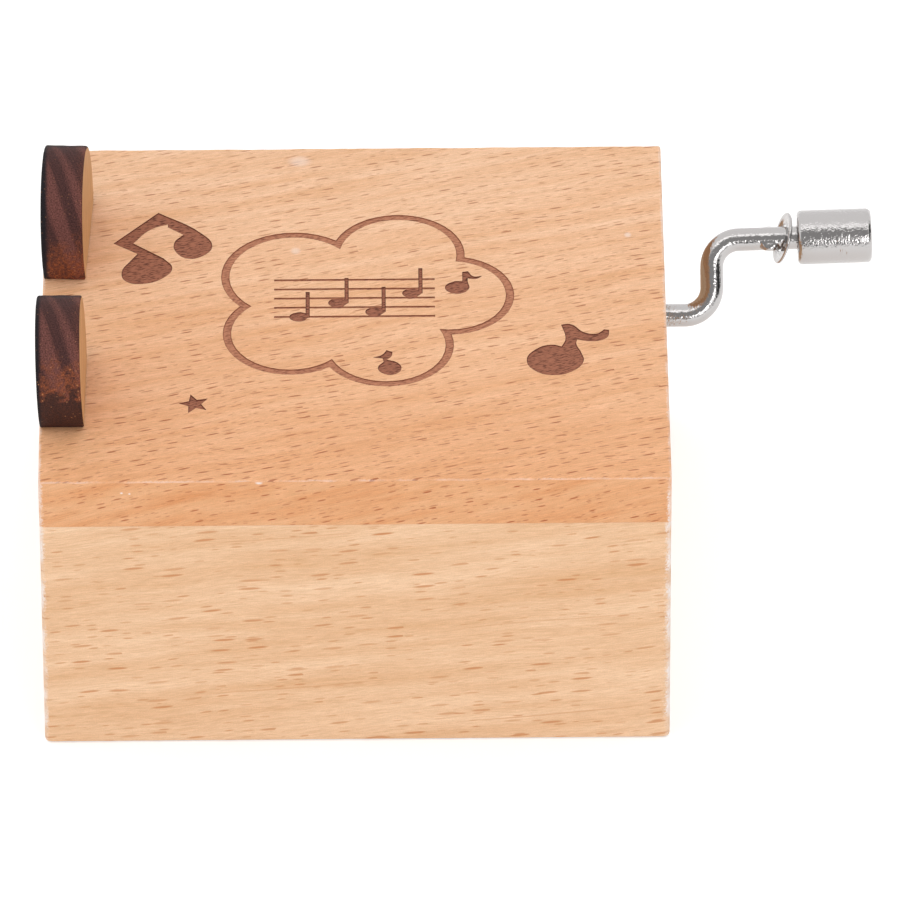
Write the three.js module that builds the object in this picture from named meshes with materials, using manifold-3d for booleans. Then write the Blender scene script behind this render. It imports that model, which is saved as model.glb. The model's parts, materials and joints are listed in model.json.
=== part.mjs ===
// Hand crank music box: a glued beech case with a cranked comb movement hung under its lid.
// Millimetres. +X runs to the crank, -Y is the front, +Z is up.
// The origin is at the centre of the underside, on the bottom plate.
import * as THREE from 'three';
import { mergeVertices } from 'three/addons/utils/BufferGeometryUtils.js';
import Module from 'manifold-3d';

const wasm = await Module();
wasm.setup();

const TURN = 2 * Math.PI;
const HALF_TURN = Math.PI;
const QUARTER_TURN = Math.PI / 2;
const HALF = 0.5;
const degrees = THREE.MathUtils.degToRad;

// Case
const boxLength = 64;
const boxDepth = 56;
const boxHeight = 34;
const lidThickness = 5.8;
const wallThickness = 5;
const bottomThickness = 3;
const bottomFit = 0.2;
const arrisRadius = 0.6;
const cleatWidth = 5.5;
const cleatHeight = 6;
const cleatScrewShare = 0.36;
const wireHoleRadius = 2;

// Two upright discs glued on the lid along its left edge, by hand, the front one first
const discRadii = [6.9, 7.4];
const discCentreHeights = [3.95, 3];
const discThicknesses = [4.5, 4.3];
const discInsets = [0.12, 0.43];
const discPlaceShares = [0.2606, 0.7232];
const discYaws = [degrees(0.9), degrees(2.9)];
const discLean = degrees(2);

// Room left round the movement, and its bedplate
const bedLeftRoom = 2.5;
const bedRightRoom = 6.5;
const bedFrontRoom = 7;
const bedBackRoom = 0.7;
const bedThickness = 1.5;
const bedCornerRadius = 2;
const runGap = 0.35;
const boreClearance = 0.15;
const pressClearance = 0.05;
const legThickness = 2;
const legWidth = 6;
const lugRoom = 3.2;
const footLength = 4.5;
const footThickness = 1.5;
const footWidth = 14;

// Worm drive: one thread on the crank turns a wheel on the pinned cylinder
const gearModule = 0.5;
const wheelTeeth = 24;
const wheelWidth = 2.4;
const wheelHubRadius = 3.6;
const wormPitchRadius = 2.3;
const wormTurns = 4.5;
const wormEndLength = 0.9;
const wormHand = -1;
const wormCover = 0.55;
const addendumShare = 0.9;
const dedendumShare = 1.2;
const toothTipShare = 0.19;
const toothRootShare = 0.6;
const postThickness = 2;
const postWidth = 5.4;
const postFoot = 1.5;

// Pinned cylinder, on an arbor
const cylinderInset = 14.5;
const cylinderRadius = 6.2;
const cylinderWall = 0.6;
const capThickness = 1;
const arborRadius = 1;
const arborOverhang = 0.6;
const pinHeight = 0.45;
const pinRadius = 0.22;
const pinSink = 0.2;
const pinSides = 5;
const scaleRuns = 4;
const chordEvery = 4;
const chordIntervals = [2, 4];

// Comb
const toothCount = 18;
const combMargin = 2;
const spineWidth = 6.5;
const spineThickness = 1.6;
const toothThickness = 0.8;
const toothTipThickness = 0.5;
const slitWidth = 0.25;
const tipNarrowing = 0.2;
const combTipGap = 0.2;
const combScrewShares = [0.22, 0.78];
const trebleSlitShare = 0.62;
const combEndMargin = 0.3;
const railLip = 1;
const weightCount = 7;
const bassWeightLength = 4.2;
const weightStep = 0.42;
const weightHeight = 1.1;
const weightSideGap = 0.08;
const weightTipGap = 0.7;

// Crank
const wireRadius = 1.2;
const crankLean = degrees(38);
const crankReach = 5.1;
const crankThrow = 7.8;
const crankBendRadius = 2.85;
const handleRise = degrees(1.5);
const handleRun = 6.1;
const clipThickness = 0.6;
const clipRadius = 2.3;
const wireTail = 0.8;
const earPlace = 3.05;
const earLength = 1.6;
const earProud = 0.5;
const earWidth = 1.1;
const earTurn = degrees(45);
const headRadius = 1.65;
const headLength = 0.8;

// Knob, and the loose washer behind it
const knobRadius = 2.83;
const knobLength = 7.7;
const knobEdge = 0.4;
const knobBoreLength = 4.2;
const knobCavityRadius = 2.1;
const knobEndWall = 1.3;
const washerRadius = 2.7;
const washerHoleRadius = 1.5;
const washerThickness = 0.3;
const washerPlace = 4.6;
const washerTilt = degrees(13.4);
const washerTwist = degrees(14.5);

// Screws
const screwRadius = 1;
const screwHeadRadius = 1.9;
const screwHeadHeight = 1.2;
const screwHeadEdge = 0.25;
const countersinkDepth = screwHeadRadius - screwRadius;
const slotWidth = 0.5;
const slotDepth = 0.5;
const threadClearance = 0.08;
const lidScrewDepth = 4;
const railScrewDepth = 6;
const cleatScrewDepth = 5;
const bedScrewMargin = 3;

// Cuts run past the surface by this much
const overrun = 0.5;

// Facets
const FINE = 48;
const ROUND = 24;
const SMALL = 16;
const LEG_STEPS = 8;
const ARRIS_STEPS = 3;
const BEND_STEPS = 7;
const THREAD_STEPS = 14;

// Worked-out places of the case
const innerRight = boxLength * HALF - wallThickness;
const innerBack = boxDepth * HALF - wallThickness;
const wallHeight = boxHeight - lidThickness;
const lidUnderside = wallHeight;

// Worked-out places of the movement
const bedLeft = -innerRight + bedLeftRoom;
const bedRight = innerRight - bedRightRoom;
const bedFront = -innerBack + bedFrontRoom;
const bedBack = innerBack - bedBackRoom;
const bedUnderside = lidUnderside - bedThickness;
const toothPitch = Math.PI * gearModule;
const wheelPitchRadius = wheelTeeth * gearModule * HALF;
const addendum = addendumShare * gearModule;
const dedendum = dedendumShare * gearModule;
const wormOuterRadius = wormPitchRadius + addendum;
const wormRootRadius = wormPitchRadius - dedendum;
const wormLength = wormTurns * toothPitch + 2 * wormEndLength;
const legBack = bedBack - footLength;
const legFront = legBack - legThickness;
const shaftY = legFront - runGap - wormOuterRadius;
const shaftZ = bedUnderside - wormCover - wormOuterRadius;
const cylinderX = bedRight - cylinderInset;
const cylinderZ = shaftZ - wormPitchRadius - wheelPitchRadius;
const lugFront = bedFront + lugRoom;
const cylinderFront = lugFront + legThickness + runGap;
const cylinderBack = shaftY - wormOuterRadius - runGap;
const cylinderLength = cylinderBack - cylinderFront;
const cylinderMiddle = (cylinderBack + cylinderFront) * HALF;
const pinCircle = cylinderRadius + pinHeight;
const combTipX = cylinderX - pinCircle - combTipGap;
const spineLeft = bedLeft + combMargin;
const spineRight = spineLeft + spineWidth;
const combWidth = cylinderLength - 2 * combEndMargin;
const combPitch = combWidth / toothCount;
const combUnderside = cylinderZ - toothTipThickness * HALF - (toothThickness - toothTipThickness);
const railUnderside = combUnderside + spineThickness;
const screwLineX = spineLeft + spineWidth * HALF - railLip * HALF;

// Materials
function material(color, roughness, metalness) {
  return new THREE.MeshStandardMaterial({ color, roughness, metalness });
}
const lidBeech = material('#e6b48a', 0.6, 0);
const wallBeech = material('#e9c498', 0.6, 0);
const burntBeech = material('#5a3c34', 0.8, 0);
const nickel = material('#c8c5c4', 0.22, 1);
const zinc = material('#a9a9a6', 0.5, 1);
const springSteel = material('#b9bcc0', 0.3, 1);
const brass = material('#c9a24b', 0.3, 1);
const acetal = material('#efeee8', 0.45, 0);
const screwSteel = material('#c2b27a', 0.35, 1);

// Closed meshes to solids and back, for joins and cuts
function solid(geometry) {
  const bare = geometry.clone();
  bare.deleteAttribute('normal');
  bare.deleteAttribute('uv');
  const merged = mergeVertices(bare);
  return new wasm.Manifold(new wasm.Mesh({
    numProp: 3,
    vertProperties: new Float32Array(merged.attributes.position.array),
    triVerts: new Uint32Array(merged.index.array),
  }));
}

function geometryOf(manifold) {
  const mesh = manifold.getMesh();
  const geometry = new THREE.BufferGeometry();
  geometry.setAttribute('position', new THREE.BufferAttribute(mesh.vertProperties, 3));
  geometry.setIndex(new THREE.BufferAttribute(mesh.triVerts, 1));
  return geometry;
}

function joined(...geometries) {
  return geometryOf(geometries.map(solid).reduce((sum, piece) => sum.add(piece)));
}

function cut(geometry, ...tools) {
  return geometryOf(tools.map(solid).reduce((rest, tool) => rest.subtract(tool), solid(geometry)));
}

// A block between two corners
function block(low, high) {
  const size = high.map((value, axis) => value - low[axis]);
  const middle = high.map((value, axis) => (value + low[axis]) * HALF);
  return new THREE.BoxGeometry(...size).translate(...middle);
}

// A round bar from one end to the other along an axis
function bar(axis, radius, start, end, centre, sides = ROUND) {
  const geometry = new THREE.CylinderGeometry(radius, radius, end - start, sides);
  const middle = (start + end) * HALF;
  if (axis === 'x') return geometry.rotateZ(-QUARTER_TURN).translate(middle, centre[0], centre[1]);
  if (axis === 'z') return geometry.rotateX(QUARTER_TURN).translate(centre[0], centre[1], middle);
  return geometry.translate(centre[0], middle, centre[1]);
}

// A profile of [radius, height] points turned round +Z
function turned(points, sides = ROUND) {
  const profile = points.map(([radius, height]) => new THREE.Vector2(radius, height));
  return new THREE.LatheGeometry(profile, sides).rotateX(QUARTER_TURN);
}

// Rings of points joined into one closed skin, each end closed by a fan to its middle
function lofted(rings) {
  const sides = rings[0].length;
  const points = rings.flat();
  const faces = [];
  for (let ring = 0; ring < rings.length - 1; ring++) {
    for (let side = 0; side < sides; side++) {
      const next = (side + 1) % sides;
      const a = ring * sides + side;
      const b = ring * sides + next;
      faces.push(a, b, b + sides, a, b + sides, a + sides);
    }
  }
  const endRings = [rings[0], rings[rings.length - 1]];
  endRings.forEach((ring, end) => {
    const middle = ring.reduce((sum, point) => sum.add(point), new THREE.Vector3());
    points.push(middle.divideScalar(sides));
    const first = end * (rings.length - 1) * sides;
    for (let side = 0; side < sides; side++) {
      const a = first + side;
      const b = first + (side + 1) % sides;
      if (end === 0) faces.push(points.length - 1, b, a);
      else faces.push(points.length - 1, a, b);
    }
  });
  const geometry = new THREE.BufferGeometry();
  geometry.setAttribute('position', new THREE.BufferAttribute(
    new Float32Array(points.flatMap((point) => point.toArray())), 3));
  geometry.setIndex(faces);
  return geometry;
}

// A flat plate with rounded corners, between two corners and two heights
function roundedPlate(low, high, corner, bottom, top) {
  const shape = new THREE.Shape();
  shape.moveTo(low[0] + corner, low[1]);
  shape.lineTo(high[0] - corner, low[1]);
  shape.absarc(high[0] - corner, low[1] + corner, corner, -QUARTER_TURN, 0);
  shape.absarc(high[0] - corner, high[1] - corner, corner, 0, QUARTER_TURN);
  shape.absarc(low[0] + corner, high[1] - corner, corner, QUARTER_TURN, HALF_TURN);
  shape.absarc(low[0] + corner, low[1] + corner, corner, HALF_TURN, HALF_TURN + QUARTER_TURN);
  return new THREE.ExtrudeGeometry(shape,
    { depth: top - bottom, bevelEnabled: false, curveSegments: ARRIS_STEPS })
    .translate(0, 0, bottom);
}

const musicBox = new THREE.Group();
const crank = new THREE.Group();
crank.position.set(0, shaftY, shaftZ);
crank.rotation.x = -crankLean;
musicBox.add(crank);

function piece(name, geometry, finish, parent = musicBox) {
  const mesh = new THREE.Mesh(geometry, finish);
  mesh.name = name;
  parent.add(mesh);
  return mesh;
}

// Screw places on the lid side, the comb rail, the bracket foot and the bottom plate
const bedScrewPlaces = [
  [bedLeft + bedScrewMargin, (bedFront + cylinderFront - combEndMargin) * HALF],
  [bedLeft + bedScrewMargin, (bedBack + cylinderBack) * HALF],
  [bedRight - bedScrewMargin, cylinderMiddle],
];
const combScrewPlaces = combScrewShares.map(
  (share) => [screwLineX, cylinderFront + share * cylinderLength]);
const footScrewSpread = footWidth * HALF - screwHeadRadius - screwHeadEdge;
const footScrewY = legBack + footLength * HALF;
const footScrewPlaces = [-footScrewSpread, footScrewSpread].map(
  (offset) => [cylinderX + offset, footScrewY]);
const cleatMiddle = innerRight - cleatWidth * HALF;
const bottomScrewPlaces = [-1, 1].flatMap((side) => [-1, 1].map(
  (end) => [side * cleatMiddle, end * cleatScrewShare * boxDepth]));

// Holes for screws that are driven upwards
function screwHole(place, start, end, extra = threadClearance) {
  return bar('z', screwRadius + extra, start, end, place, SMALL);
}

// Case boards. The lid lies on the four walls, and the front and back boards cover the ends' edges.
const lidCorner = [boxLength * HALF, boxDepth * HALF];
const lidHoles = bedScrewPlaces.map((place) => screwHole(
  place, lidUnderside - overrun, lidUnderside + lidScrewDepth + threadClearance));
piece('top_board', cut(
  roundedPlate(lidCorner.map((value) => -value), lidCorner, arrisRadius, lidUnderside, boxHeight),
  ...lidHoles), lidBeech);

function longWall(outerSide) {
  const outer = outerSide * boxDepth * HALF;
  const inner = outerSide * innerBack;
  const end = boxLength * HALF;
  const eased = arrisRadius;
  const shape = new THREE.Shape();
  shape.moveTo(-end, inner);
  shape.lineTo(end, inner);
  if (outerSide < 0) {
    shape.lineTo(end, outer + eased);
    shape.absarc(end - eased, outer + eased, eased, 0, -QUARTER_TURN, true);
    shape.lineTo(-end + eased, outer);
    shape.absarc(-end + eased, outer + eased, eased, -QUARTER_TURN, -HALF_TURN, true);
  } else {
    shape.lineTo(end, outer - eased);
    shape.absarc(end - eased, outer - eased, eased, 0, QUARTER_TURN);
    shape.lineTo(-end + eased, outer);
    shape.absarc(-end + eased, outer - eased, eased, QUARTER_TURN, HALF_TURN);
  }
  return new THREE.ExtrudeGeometry(shape,
    { depth: wallHeight, bevelEnabled: false, curveSegments: ARRIS_STEPS });
}
piece('front_wall', longWall(-1), wallBeech);
piece('back_wall', longWall(1), wallBeech);
piece('left_end_wall', block(
  [-boxLength * HALF, -innerBack, 0], [-innerRight, innerBack, wallHeight]), wallBeech);
piece('right_end_wall', cut(
  block([innerRight, -innerBack, 0], [boxLength * HALF, innerBack, wallHeight]),
  bar('x', wireHoleRadius, innerRight - overrun, boxLength * HALF + overrun, [shaftY, shaftZ])), wallBeech);

// Bottom plate, inset between the walls and screwed to two glued cleats
function countersink(place, clearance) {
  return turned([
    [0, -overrun],
    [screwHeadRadius + clearance + overrun, -overrun],
    [screwRadius + clearance, countersinkDepth],
    [screwRadius + clearance, bottomThickness + overrun],
    [0, bottomThickness + overrun],
  ], SMALL).translate(place[0], place[1], 0);
}
const bottomRight = innerRight - bottomFit;
const bottomBack = innerBack - bottomFit;
piece('bottom_plate', cut(
  block([-bottomRight, -bottomBack, 0], [bottomRight, bottomBack, bottomThickness]),
  ...bottomScrewPlaces.map((place) => countersink(place, threadClearance))), wallBeech);

['left', 'right'].forEach((name, index) => {
  const side = index * 2 - 1;
  const near = side * (innerRight - cleatWidth);
  const far = side * innerRight;
  const low = [Math.min(near, far), -innerBack, bottomThickness];
  const high = [Math.max(near, far), innerBack, bottomThickness + cleatHeight];
  const holes = bottomScrewPlaces.filter((place) => place[0] * side > 0).map((place) => screwHole(
    place, bottomThickness - overrun, bottomThickness + cleatScrewDepth + threadClearance));
  piece(`${name}_cleat`, cut(block(low, high), ...holes), wallBeech);
});

bottomScrewPlaces.forEach((place, index) => {
  const cone = turned([
    [0, 0],
    [screwHeadRadius, 0],
    [screwRadius, countersinkDepth],
    [screwRadius, bottomThickness + cleatScrewDepth],
    [0, bottomThickness + cleatScrewDepth],
  ], SMALL);
  const slot = block([-screwHeadRadius - overrun, -slotWidth * HALF, -overrun],
    [screwHeadRadius + overrun, slotWidth * HALF, slotDepth]);
  piece(`bottom_screw_${index + 1}`, cut(cone, slot), screwSteel).position.set(place[0], place[1], 0);
});

// Upright discs: circles cut off flat below their centres. They lean outwards, but stand flat on the lid.
const lean = new THREE.Matrix4().makeShear(0, 0, 0, 0, -Math.tan(discLean), 0);
['front', 'back'].forEach((name, index) => {
  const thickness = discThicknesses[index];
  const halfAngle = Math.asin(discCentreHeights[index] / discRadii[index]);
  const shape = new THREE.Shape();
  shape.absarc(0, discCentreHeights[index], discRadii[index], -halfAngle, HALF_TURN + halfAngle);
  shape.closePath();
  const geometry = new THREE.ExtrudeGeometry(shape,
    { depth: thickness, bevelEnabled: false, curveSegments: FINE })
    .translate(0, 0, -thickness * HALF)
    .rotateX(QUARTER_TURN)
    .rotateZ(QUARTER_TURN)
    .rotateZ(-discYaws[index])
    .applyMatrix4(lean);
  piece(`upright_disc_${name}`, geometry, burntBeech).position.set(
    -boxLength * HALF + discInsets[index] + thickness * HALF,
    (discPlaceShares[index] - HALF) * boxDepth, boxHeight);
});

// Bedplate: one zinc casting with the comb rail, two posts for the crank and a lug for the arbor
const joinZ = bedUnderside + bedThickness * HALF;
function hangingLeg(front, back) {
  const shape = new THREE.Shape();
  const radius = legWidth * HALF;
  shape.moveTo(-radius, joinZ);
  shape.lineTo(-radius, cylinderZ);
  shape.absarc(0, cylinderZ, radius, HALF_TURN, TURN);
  shape.lineTo(radius, joinZ);
  shape.closePath();
  return new THREE.ExtrudeGeometry(shape,
    { depth: back - front, bevelEnabled: false, curveSegments: LEG_STEPS })
    .rotateX(QUARTER_TURN)
    .translate(cylinderX, back, 0);
}

const postInner = wormLength * HALF + runGap;
const postOuter = postInner + postThickness;
const posts = [[-postOuter, -postInner], [postInner, postOuter]].map(([left, right]) => block(
  [cylinderX + left, shaftY - postWidth * HALF, shaftZ - wireRadius - postFoot],
  [cylinderX + right, shaftY + postWidth * HALF, joinZ]));
const rail = block([spineLeft, cylinderFront, railUnderside], [spineRight - railLip, cylinderBack, joinZ]);
const bedCuts = [
  ...bedScrewPlaces.map((place) => screwHole(
    place, bedUnderside - overrun, lidUnderside + overrun, boreClearance)),
  ...footScrewPlaces.map((place) => screwHole(
    place, bedUnderside - overrun, lidUnderside + overrun)),
  ...combScrewPlaces.map((place) => screwHole(
    place, railUnderside - overrun, railUnderside + railScrewDepth + threadClearance)),
  bar('x', wireRadius + boreClearance, cylinderX - postOuter - overrun, cylinderX + postOuter + overrun,
    [shaftY, shaftZ]),
  bar('y', arborRadius + boreClearance, lugFront - overrun, lugFront + legThickness + overrun,
    [cylinderX, cylinderZ]),
];
piece('bedplate', cut(joined(
  roundedPlate([bedLeft, bedFront], [bedRight, bedBack], bedCornerRadius, bedUnderside, lidUnderside),
  rail, ...posts, hangingLeg(lugFront, lugFront + legThickness)), ...bedCuts), zinc);

// Pan head screws, driven upwards from below
function panScrew(length) {
  const body = turned([
    [0, -screwHeadHeight],
    [screwHeadRadius - screwHeadEdge, -screwHeadHeight],
    [screwHeadRadius, -screwHeadHeight + screwHeadEdge],
    [screwHeadRadius, 0],
    [screwRadius, 0],
    [screwRadius, length],
    [0, length],
  ], SMALL);
  const slot = block([-screwHeadRadius - overrun, -slotWidth * HALF, -screwHeadHeight - overrun],
    [screwHeadRadius + overrun, slotWidth * HALF, slotDepth - screwHeadHeight]);
  return cut(body, slot);
}
bedScrewPlaces.forEach((place, index) => {
  piece(`movement_screw_${index + 1}`, panScrew(bedThickness + lidScrewDepth), screwSteel)
    .position.set(place[0], place[1], bedUnderside);
});

// Arbor bracket, screwed under the bedplate behind the worm
const bracketLeg = cut(hangingLeg(legFront, legBack), block(
  [cylinderX - legWidth, legFront - overrun, bedUnderside],
  [cylinderX + legWidth, legBack + overrun, lidUnderside + overrun]));
const bracketFoot = block(
  [cylinderX - footWidth * HALF, legFront, bedUnderside - footThickness],
  [cylinderX + footWidth * HALF, bedBack, bedUnderside]);
const bracketCuts = [
  ...footScrewPlaces.map((place) => screwHole(
    place, bedUnderside - footThickness - overrun, bedUnderside + overrun)),
  bar('y', arborRadius + boreClearance, legFront - overrun, legBack + overrun, [cylinderX, cylinderZ]),
];
piece('arbor_bracket', cut(joined(bracketLeg, bracketFoot), ...bracketCuts), zinc);
footScrewPlaces.forEach((place, index) => {
  piece(`bracket_screw_${index + 1}`, panScrew(footThickness + bedThickness - threadClearance), screwSteel)
    .position.set(place[0], place[1], bedUnderside - footThickness);
});

// Comb: a thick spine and tapering teeth, bass at the front with weights on the side of the bedplate
const toothLength = combTipX - spineRight;
function slitEnd(index) {
  const share = index / (toothCount - 1);
  return spineRight + share * (1 - trebleSlitShare) * toothLength;
}
const combFront = cylinderMiddle - combWidth * HALF;
const combOutline = new THREE.Shape();
const overlapX = spineRight - railLip;
combOutline.moveTo(overlapX, combFront);
for (let tooth = 0; tooth < toothCount; tooth++) {
  const low = combFront + tooth * combPitch + slitWidth * HALF;
  const high = low + combPitch - slitWidth;
  if (tooth === 0) combOutline.lineTo(spineRight, low);
  else combOutline.lineTo(slitEnd(tooth - 1), low);
  combOutline.lineTo(combTipX, low + tipNarrowing * HALF);
  combOutline.lineTo(combTipX, high - tipNarrowing * HALF);
  combOutline.lineTo(tooth === toothCount - 1 ? spineRight : slitEnd(tooth), high);
}
combOutline.lineTo(overlapX, combFront + combWidth);
combOutline.closePath();
const teeth = new THREE.ExtrudeGeometry(combOutline, { depth: toothThickness, bevelEnabled: false });
const toothPoints = teeth.attributes.position;
for (let index = 0; index < toothPoints.count; index++) {
  const along = Math.max(0, toothPoints.getX(index) - spineRight) / toothLength;
  if (toothPoints.getZ(index) < toothThickness * HALF) {
    toothPoints.setZ(index, along * (toothThickness - toothTipThickness));
  }
}
teeth.translate(0, 0, combUnderside);
const spine = block(
  [spineLeft, combFront, combUnderside], [spineRight, combFront + combWidth, railUnderside]);
const weights = Array.from({ length: weightCount }, (_, tooth) => {
  const low = combFront + tooth * combPitch + slitWidth * HALF + weightSideGap;
  const high = low + combPitch - slitWidth - 2 * weightSideGap;
  const right = combTipX - weightTipGap;
  return block(
    [right - bassWeightLength + tooth * weightStep, low, combUnderside + toothThickness * HALF],
    [right, high, combUnderside + toothThickness + weightHeight]);
});
piece('comb', cut(joined(spine, teeth, ...weights),
  ...combScrewPlaces.map((place) => screwHole(
    place, combUnderside - overrun, railUnderside + overrun, boreClearance))), springSteel);
combScrewPlaces.forEach((place, index) => {
  piece(`comb_screw_${index + 1}`, panScrew(spineThickness + railScrewDepth), screwSteel)
    .position.set(place[0], place[1], combUnderside);
});

// Pinned cylinder: a brass tube with a plain scale study of pins, up and down, with a chord now and then
const tuneSteps = scaleRuns * (toothCount - 1);
function runTooth(step) {
  const span = toothCount - 1;
  const phase = step % (2 * span);
  return phase <= span ? phase : 2 * span - phase;
}
const pinPlaces = [];
for (let step = 0; step < tuneSteps; step++) {
  const tooth = runTooth(step);
  pinPlaces.push([tooth, step]);
  if (step % chordEvery === 0) {
    chordIntervals.forEach((interval) => {
      if (tooth + interval < toothCount) pinPlaces.push([tooth + interval, step]);
    });
  }
}
const tube = turned([
  [cylinderRadius, 0],
  [cylinderRadius, cylinderLength],
  [cylinderRadius - cylinderWall, cylinderLength],
  [cylinderRadius - cylinderWall, 0],
  [cylinderRadius, 0],
], FINE).rotateX(-QUARTER_TURN);
const pins = pinPlaces.map(([tooth, step]) => {
  const along = combEndMargin + (tooth + HALF) * combPitch;
  return bar('z', pinRadius, cylinderRadius - pinSink, pinCircle, [0, along], pinSides)
    .rotateY(TURN * step / tuneSteps);
});
piece('pinned_cylinder', joined(tube, ...pins), brass).position.set(cylinderX, cylinderFront, cylinderZ);

function endCap() {
  return turned([
    [arborRadius + pressClearance, 0],
    [cylinderRadius - cylinderWall - pressClearance, 0],
    [cylinderRadius - cylinderWall - pressClearance, capThickness],
    [arborRadius + pressClearance, capThickness],
    [arborRadius + pressClearance, 0],
  ]).rotateX(-QUARTER_TURN);
}
piece('cylinder_cap_front', endCap(), brass).position.set(cylinderX, cylinderFront, cylinderZ);
piece('cylinder_cap_back', endCap(), brass).position.set(cylinderX, cylinderBack - capThickness, cylinderZ);
piece('arbor', bar('y', arborRadius, lugFront - arborOverhang, legBack + arborOverhang,
  [cylinderX, cylinderZ]), springSteel);

// Worm wheel: helical teeth that lie along the worm's thread, with a hub to the cylinder and the bracket
const wheelRoot = wheelPitchRadius - dedendum;
const wheelTip = wheelPitchRadius + addendum;
const toothAngle = TURN / wheelTeeth;
const leadSlope = wormHand * toothPitch / (TURN * wormPitchRadius);
const wheelTwist = leadSlope / wheelPitchRadius;
const wheelLayers = [-1, 0, 1].map((side) => side * wheelWidth * HALF);
function wheelRing(offset) {
  const ring = [];
  for (let tooth = 0; tooth < wheelTeeth; tooth++) {
    const middle = tooth * toothAngle + offset * wheelTwist;
    const corners = [
      [wheelRoot, -toothRootShare],
      [wheelTip, -toothTipShare],
      [wheelTip, toothTipShare],
      [wheelRoot, toothRootShare],
    ];
    corners.forEach(([radius, widthShare]) => {
      const angle = middle + widthShare * HALF * toothPitch / radius;
      ring.push(new THREE.Vector3(radius * Math.sin(angle), offset, radius * Math.cos(angle)));
    });
  }
  return ring;
}
const hubBack = legFront - runGap;
const wheelBlank = lofted(wheelLayers.map(wheelRing)).translate(0, shaftY, 0);
const wheelHub = bar('y', wheelHubRadius, cylinderBack, hubBack, [0, 0]);
const wheelBore = bar('y', arborRadius + pressClearance, cylinderBack - overrun, hubBack + overrun, [0, 0]);
piece('worm_wheel', cut(joined(wheelBlank, wheelHub), wheelBore), brass)
  .position.set(cylinderX, 0, cylinderZ);

// Worm: one trapezoidal thread round a sleeve pressed on the crank wire
function threadRing(turn) {
  const angle = -QUARTER_TURN + TURN * turn * wormHand;
  const along = (turn + HALF) * toothPitch;
  const rootHalf = toothRootShare * toothPitch * HALF;
  const tipHalf = toothTipShare * toothPitch * HALF;
  const sunk = wormRootRadius - pressClearance;
  const corners = [
    [sunk, -rootHalf],
    [sunk, rootHalf],
    [wormOuterRadius, tipHalf],
    [wormOuterRadius, -tipHalf],
  ];
  return corners.map(([radius, side]) => new THREE.Vector3(
    along + side, radius * Math.cos(angle), radius * Math.sin(angle)));
}
const threadStart = -wormTurns * HALF;
const threadSteps = wormTurns * THREAD_STEPS;
const threadRings = [];
for (let step = 0; step <= threadSteps; step++) {
  threadRings.push(threadRing(threadStart + (wormTurns - 1) * step / threadSteps));
}
if (wormHand < 0) threadRings.forEach((ring) => ring.reverse());
const wormSleeve = bar('x', wormRootRadius, -wormLength * HALF, wormLength * HALF, [0, 0]);
const wormBore = bar('x', wireRadius + pressClearance,
  -wormLength * HALF - overrun, wormLength * HALF + overrun, [0, 0]);
piece('worm', cut(joined(wormSleeve, lofted(threadRings)), wormBore), acetal)
  .position.set(cylinderX, shaftY, shaftZ);

// Crank wire: one bent steel wire, with a riveted head inside the knob and two crimped ears
const armX = boxLength * HALF + crankReach;
const clipLeft = cylinderX - postOuter - runGap - clipThickness;
const wireStart = clipLeft - wireTail;
const riseSine = Math.sin(handleRise);
const riseCosine = Math.cos(handleRise);
const handleStart = new THREE.Vector2(
  armX + crankBendRadius * (1 - riseSine), crankThrow);
const upperBendZ = crankThrow - crankBendRadius * riseCosine;
const wireEnd = handleRun + knobBoreLength + runGap + headLength;
const stations = [[wireStart, 0, 0]];
for (let step = 0; step <= BEND_STEPS; step++) {
  const angle = QUARTER_TURN * step / BEND_STEPS;
  stations.push([armX - crankBendRadius + crankBendRadius * Math.sin(angle),
    crankBendRadius - crankBendRadius * Math.cos(angle), angle]);
}
for (let step = 0; step <= BEND_STEPS; step++) {
  const angle = (QUARTER_TURN - handleRise) * step / BEND_STEPS;
  stations.push([armX + crankBendRadius - crankBendRadius * Math.cos(angle),
    upperBendZ + crankBendRadius * Math.sin(angle), QUARTER_TURN - angle]);
}
stations.push([handleStart.x + wireEnd * riseCosine, handleStart.y + wireEnd * riseSine, handleRise]);
const wireRings = stations.map(([x, z, heading]) => {
  const ring = [];
  for (let side = 0; side < SMALL; side++) {
    const angle = TURN * side / SMALL;
    const across = wireRadius * Math.cos(angle);
    ring.push(new THREE.Vector3(x - across * Math.sin(heading), -wireRadius * Math.sin(angle),
      z + across * Math.cos(heading)));
  }
  return ring;
});

function alongHandle(geometry) {
  return geometry.rotateY(-handleRise).translate(handleStart.x, 0, handleStart.y);
}
const rivetHead = alongHandle(bar('x', headRadius, wireEnd - headLength, wireEnd, [0, 0]));
const ears = [-1, 1].map((side) => {
  const ear = new THREE.SphereGeometry(1, SMALL, LEG_STEPS)
    .scale(earLength * HALF, earProud, earWidth * HALF)
    .translate(earPlace, side * wireRadius, 0)
    .rotateX(earTurn);
  return alongHandle(ear);
});
piece('crank_wire', joined(lofted(wireRings), rivetHead, ...ears), nickel, crank);

piece('shaft_clip', turned([
  [wireRadius + pressClearance, 0],
  [clipRadius, 0],
  [clipRadius, clipThickness],
  [wireRadius + pressClearance, clipThickness],
  [wireRadius + pressClearance, 0],
]).rotateY(QUARTER_TURN).translate(clipLeft, 0, 0), springSteel, crank);

// Handle: the knob turns on the wire, and a thin washer sits loose and tilted behind it
const handle = new THREE.Group();
handle.position.set(handleStart.x, 0, handleStart.y);
handle.rotation.y = -handleRise;
crank.add(handle);

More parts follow.
